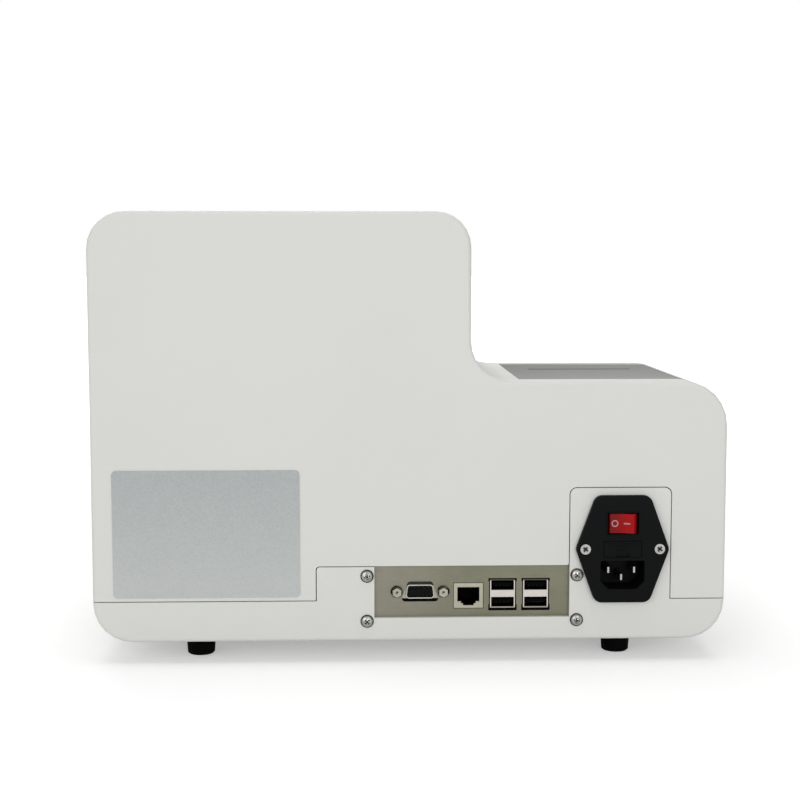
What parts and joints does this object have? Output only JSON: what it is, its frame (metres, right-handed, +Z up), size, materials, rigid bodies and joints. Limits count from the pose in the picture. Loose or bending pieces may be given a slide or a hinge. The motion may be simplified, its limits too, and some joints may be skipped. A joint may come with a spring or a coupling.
{
  "type": "urine analyzer",
  "caption": "Bench-top urine analyzer with a strip tray, touch screen, receipt printer, waste drawer and rear panel with power inlet and sockets.",
  "frame": {"origin": "on the table, under the middle of the bounding box", "axes": "+X across from the low block to the tall block, +Y to the rear with the connectors, +Z up"},
  "size_m": [0.34, 0.3184, 0.242],
  "materials": {
    "shell_white": "fine satin moulding",
    "tray_white": "smooth satin moulding",
    "grey_plastic": "fine satin moulding",
    "black_rubber": "matt",
    "black_plastic": "satin",
    "switch_red": "clear gloss",
    "label_silver": "satin silver foil",
    "panel_steel": "dull zinc plate",
    "nickel": "bright nickel plate",
    "steel": "ground",
    "zinc_sheet": "zinc plated sheet",
    "screen_glass": "glossy dark glass over the display",
    "fuse_glass": "glass tube with plated caps",
    "gear_white": "moulded acetal",
    "board_green": "solder resist",
    "paper": "matt"
  },
  "bodies": {
    "base": {"carriage_rod_front": "steel", "carriage_rod_rear": "steel", "cpu_heatsink": "zinc_sheet", "drive_belt": "black_rubber", "foot_1": "black_rubber", "foot_2": "black_rubber", "foot_3": "black_rubber", "foot_4": "black_rubber", "head_guide_rod": "steel", "inlet_body": "black_plastic", "inlet_pin_earth": "nickel", "inlet_pin_line": "nickel", "inlet_pin_neutral": "nickel", "inlet_screw_high": "steel", "inlet_screw_low": "steel", "io_plate": "panel_steel", "io_screw_1": "nickel", "io_screw_2": "nickel", "io_screw_3": "nickel", "io_screw_4": "nickel", "label_plate": "label_silver", "lcd_bracket": "zinc_sheet", "lcd_module": "zinc_sheet", "lid_hinge_pin": "steel", "lower_housing": "shell_white", "main_board": "board_green", "network_jack": "nickel", "paper_bin": "black_plastic", "power_supply": "board_green", "printer_motor": "steel", "read_head_motor": "steel", "roll_spindle": "gear_white", "strip_tray": "tray_white", "thermal_head": "black_plastic", "touch_glass": "screen_glass", "transport_chassis": "zinc_sheet", "transport_motor": "steel", "upper_cover": "shell_white", "usb_stack_1": "nickel", "usb_stack_2": "nickel", "video_insert": "black_plastic", "video_jack_high": "nickel", "video_jack_low": "nickel", "video_shell": "nickel"},
    "rocker": {"power_rocker": "switch_red"},
    "fuse_holder": {"fuse_drawer": "black_plastic", "fuse": "fuse_glass"},
    "lid": {"printer_lid": "grey_plastic"},
    "platen": {"platen_roller": "black_rubber"},
    "pinion": {"motor_pinion": "gear_white"},
    "roll": {"paper_roll": "paper"},
    "pusher": {"push_bar": "tray_white"},
    "driven_pulley": {"motor_pulley": "gear_white"},
    "idler": {"idler_pulley": "gear_white"},
    "optics": {"read_head": "black_plastic"},
    "screw": {"lead_screw": "steel"},
    "drawer": {"waste_drawer": "grey_plastic"}
  },
  "joints": [
    {"name": "rocker_turn", "type": "hinge", "parent": "base", "child": "rocker", "pos_m": [-0.1137, 0.15364, 0.076], "axis": [0, 0, 1], "range_deg": [0, 20]},
    {"name": "fuse_drawer_slide", "type": "slide", "parent": "base", "child": "fuse_holder", "axis": [0, 1, 0], "range_m": [0, 0.019]},
    {"name": "lid_hinge", "type": "hinge", "parent": "base", "child": "lid", "pos_m": [-0.10425, 0.13434, 0.1482], "axis": [-1, 0, 0], "range_deg": [0, 95]},
    {"name": "platen_spin", "type": "hinge", "parent": "base", "child": "platen", "pos_m": [-0.10425, 0.06184, 0.1372], "axis": [1, 0, 0], "continuous": true},
    {"name": "pinion_spin", "type": "hinge", "parent": "base", "child": "pinion", "pos_m": [-0.0589, 0.05509, 0.12916], "axis": [1, 0, 0], "continuous": true},
    {"name": "roll_spin", "type": "hinge", "parent": "base", "child": "roll", "pos_m": [-0.10425, 0.10284, 0.1221], "axis": [1, 0, 0], "continuous": true},
    {"name": "push_bar_slide", "type": "slide", "parent": "base", "child": "pusher", "axis": [1, 0, 0], "range_m": [0, 0.088]},
    {"name": "motor_pulley_spin", "type": "hinge", "parent": "base", "child": "driven_pulley", "pos_m": [-0.152, -0.00516, 0.084], "axis": [0, 1, 0], "continuous": true},
    {"name": "idler_pulley_spin", "type": "hinge", "parent": "base", "child": "idler", "pos_m": [-0.02, -0.00516, 0.084], "axis": [0, 1, 0], "continuous": true},
    {"name": "read_head_slide", "type": "slide", "parent": "base", "child": "optics", "axis": [0, -1, 0], "range_m": [0, 0.078]},
    {"name": "lead_screw_spin", "type": "hinge", "parent": "base", "child": "screw", "pos_m": [0.002, -0.02816, 0.09767], "axis": [0, -1, 0], "continuous": true},
    {"name": "waste_drawer_slide", "type": "slide", "parent": "base", "child": "drawer", "axis": [0, -1, 0], "range_m": [0, 0.15]}
  ],
  "couplings": [
    {"joint": "pinion_spin", "follows": "platen_spin", "ratio": -2.5},
    {"joint": "roll_spin", "follows": "platen_spin", "ratio": 0.26087},
    {"joint": "motor_pulley_spin", "follows": "push_bar_slide", "rad_per_m": 128.21},
    {"joint": "idler_pulley_spin", "follows": "push_bar_slide", "rad_per_m": 128.21},
    {"joint": "lead_screw_spin", "follows": "read_head_slide", "rad_per_m": -1256.6}
  ]
}
